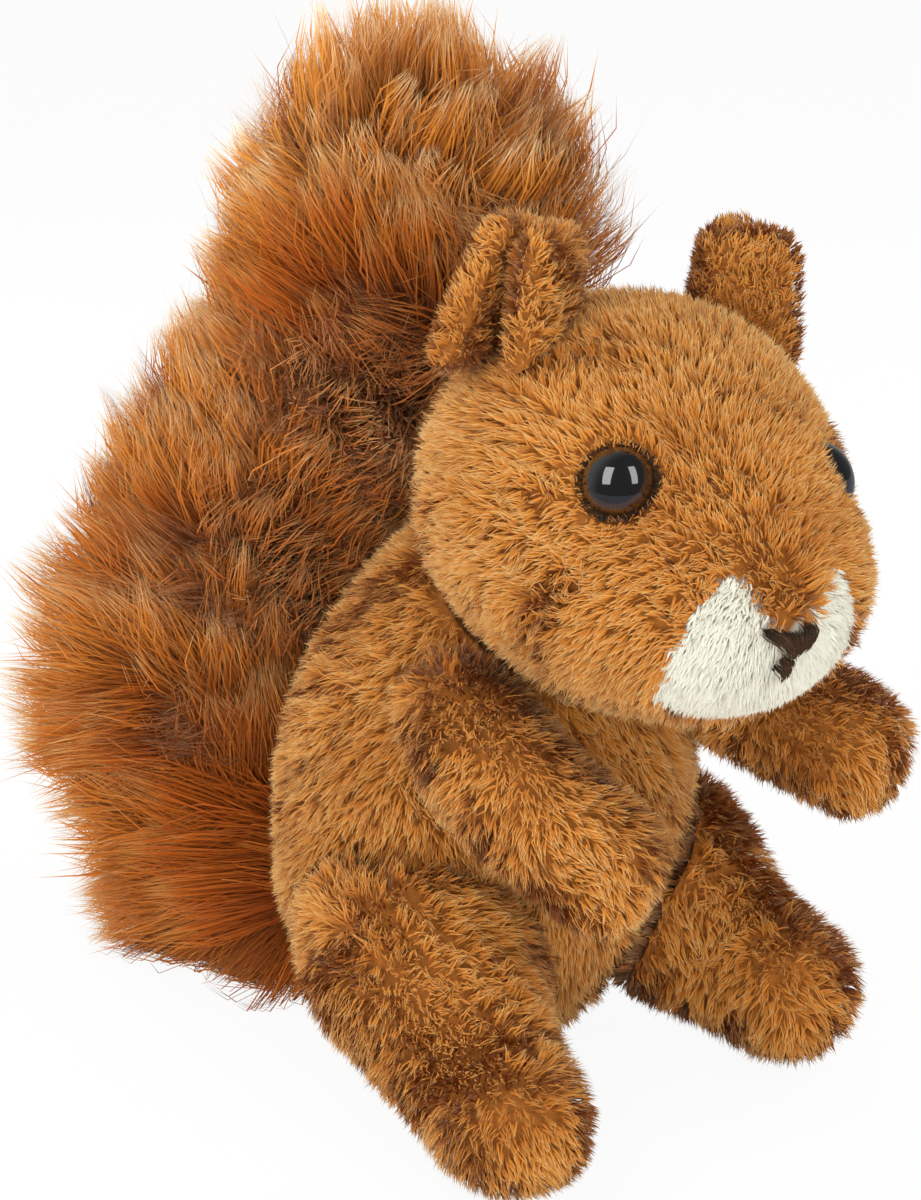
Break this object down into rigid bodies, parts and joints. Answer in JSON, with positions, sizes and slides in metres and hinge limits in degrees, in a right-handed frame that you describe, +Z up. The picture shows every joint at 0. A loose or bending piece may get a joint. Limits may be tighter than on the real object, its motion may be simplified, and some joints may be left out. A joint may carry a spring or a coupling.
{
  "type": "plush squirrel",
  "caption": "Small sitting plush squirrel with a bushy upright tail, white muzzle, stitched nose and domed plastic eyes.",
  "frame": {"origin": "on the pressed flat under the body, below the middle of the body", "axes": "+Z up, the toy faces -Y, +X towards its left side"},
  "size_m": [0.082, 0.1554, 0.1461],
  "materials": {
    "brown_plush": "short golden-brown pile",
    "tail_plush": "long silky orange-brown pile",
    "white_plush": "short white pile",
    "eye_plastic": "clear dark brown dome over a black pupil",
    "washer_plastic": "plain white washer, hidden inside the head",
    "stitching": "satin stitches of black-brown thread"
  },
  "bodies": {
    "root": {"body": "brown_plush", "head": "brown_plush", "arm_left": "brown_plush", "arm_right": "brown_plush", "leg_left": "brown_plush", "leg_right": "brown_plush", "ear_left": "brown_plush", "ear_right": "brown_plush", "tail": "tail_plush", "muzzle_left": "white_plush", "muzzle_right": "white_plush", "eye_left": "eye_plastic", "eye_right": "eye_plastic", "eye_washer_left": "washer_plastic", "eye_washer_right": "washer_plastic", "nose": "stitching", "mouth_stitch": "stitching"}
  },
  "joints": []
}
